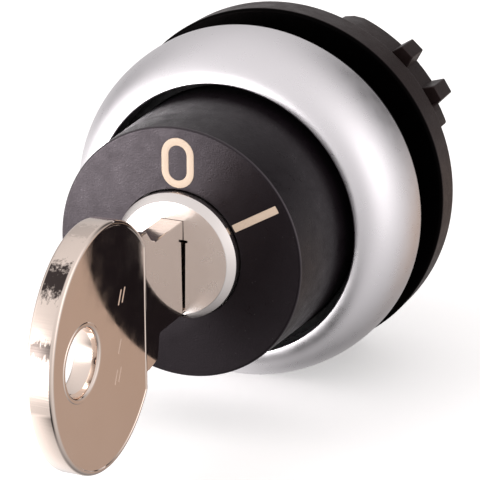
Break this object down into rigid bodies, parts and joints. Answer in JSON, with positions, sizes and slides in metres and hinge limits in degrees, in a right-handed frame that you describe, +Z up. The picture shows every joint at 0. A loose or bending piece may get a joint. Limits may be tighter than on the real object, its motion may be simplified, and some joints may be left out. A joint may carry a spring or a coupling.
{
  "type": "selector key switch",
  "caption": "Panel-mount key-operated selector switch: silver front ring, fixed black dial with 0 and I marks, turning keyed lock plug, threaded body, ring nut and rear plungers.",
  "frame": {"origin": "on the switch axis, at the centre of the guide cage's rear boss, where the contact-block adapter seats; the panel's front surface is at y = -0.0132 m", "axes": "+Y along the switch axis towards the rear (contact side), -Y towards the key, +Z up through the 0 mark, +X to the right seen from the front"},
  "size_m": [0.0306, 0.0519, 0.0308],
  "materials": {
    "satin_silver": "satin metallised front ring",
    "black_plastic": "fine-grained matte black polyamide",
    "nut_plastic": "matte brown-black glass-filled polyamide",
    "cage_plastic": "matte dark grey moulding",
    "legend_ink": "matte cream two-shot inlay",
    "rubber": "matte nitrile rubber",
    "nickel": "polished nickel-plated key",
    "satin_nickel": "satin nickel-plated lock plug",
    "zinc": "die-cast zinc lock barrel",
    "brass": "stamped brass wafers",
    "spring_steel": "bright spring steel",
    "cam_plastic": "grey acetal",
    "plunger_plastic": "natural acetal"
  },
  "bodies": {
    "housing": {"mounting_body": "black_plastic", "bezel_ring": "satin_silver", "dial_cap": "black_plastic", "legend_zero": "legend_ink", "legend_one": "legend_ink", "cap_seal": "rubber", "panel_gasket": "rubber", "lock_barrel": "zinc", "barrel_o_ring": "rubber", "barrel_clip": "spring_steel", "detent_spring": "spring_steel", "guide_cage": "cage_plastic", "plunger_spring_right": "spring_steel", "plunger_spring_left": "spring_steel"},
    "nut": {"ring_nut": "nut_plastic"},
    "plug": {"lock_plug": "satin_nickel", "plug_o_ring": "rubber", "plug_clip": "spring_steel", "drive_cam": "cam_plastic", "cam_screw": "spring_steel", "wafer_spring_1": "spring_steel", "wafer_spring_2": "spring_steel", "wafer_spring_3": "spring_steel", "wafer_spring_4": "spring_steel", "wafer_spring_5": "spring_steel", "wafer_spring_6": "spring_steel"},
    "key_body": {"key": "nickel"},
    "wafer_body_1": {"wafer_1": "brass"},
    "wafer_body_2": {"wafer_2": "brass"},
    "wafer_body_3": {"wafer_3": "brass"},
    "wafer_body_4": {"wafer_4": "brass"},
    "wafer_body_5": {"wafer_5": "brass"},
    "wafer_body_6": {"wafer_6": "brass"},
    "plunger_body_right": {"plunger_right": "plunger_plastic"},
    "plunger_body_left": {"plunger_left": "plunger_plastic"}
  },
  "joints": [
    {"name": "plug_turn", "type": "hinge", "parent": "housing", "child": "plug", "pos_m": [0, -0.0132, 0], "axis": [0, 1, 0], "range_deg": [0, 60], "deforming": ["detent_spring", "plunger_spring_right", "plunger_spring_left"]},
    {"name": "key_slide", "type": "slide", "parent": "plug", "child": "key_body", "axis": [0, -1, 0], "range_m": [0, 0.026], "deforming": ["wafer_spring_1", "wafer_spring_2", "wafer_spring_3", "wafer_spring_4", "wafer_spring_5", "wafer_spring_6"]},
    {"name": "nut_turn", "type": "hinge", "parent": "housing", "child": "nut", "pos_m": [0, -0.006, 0], "axis": [0, 1, 0], "continuous": true},
    {"name": "wafer_lift_1", "type": "slide", "parent": "plug", "child": "wafer_body_1", "axis": [0, 0, 1], "range_m": [0, 0.0007]},
    {"name": "wafer_lift_2", "type": "slide", "parent": "plug", "child": "wafer_body_2", "axis": [0, 0, -1], "range_m": [0, 0.0007]},
    {"name": "wafer_lift_3", "type": "slide", "parent": "plug", "child": "wafer_body_3", "axis": [0, 0, 1], "range_m": [0, 0.0007]},
    {"name": "wafer_lift_4", "type": "slide", "parent": "plug", "child": "wafer_body_4", "axis": [0, 0, -1], "range_m": [0, 0.0007]},
    {"name": "wafer_lift_5", "type": "slide", "parent": "plug", "child": "wafer_body_5", "axis": [0, 0, 1], "range_m": [0, 0.0007]},
    {"name": "wafer_lift_6", "type": "slide", "parent": "plug", "child": "wafer_body_6", "axis": [0, 0, -1], "range_m": [0, 0.0007]},
    {"name": "plunger_push_right", "type": "slide", "parent": "housing", "child": "plunger_body_right", "axis": [0, 1, 0], "range_m": [0, 0.0022]},
    {"name": "plunger_push_left", "type": "slide", "parent": "housing", "child": "plunger_body_left", "axis": [0, 1, 0], "range_m": [0, 0.0022]}
  ],
  "couplings": [
    {"joint": "wafer_lift_1", "follows": "key_slide", "ratio": 0.023},
    {"joint": "wafer_lift_2", "follows": "key_slide", "ratio": 0.023},
    {"joint": "wafer_lift_3", "follows": "key_slide", "ratio": 0.023},
    {"joint": "wafer_lift_4", "follows": "key_slide", "ratio": 0.023},
    {"joint": "wafer_lift_5", "follows": "key_slide", "ratio": 0.023},
    {"joint": "wafer_lift_6", "follows": "key_slide", "ratio": 0.023},
    {"joint": "plunger_push_right", "follows": "plug_turn", "m_per_rad": 0.0019099},
    {"joint": "plunger_push_left", "follows": "plug_turn", "m_per_rad": 0.0019099}
  ]
}
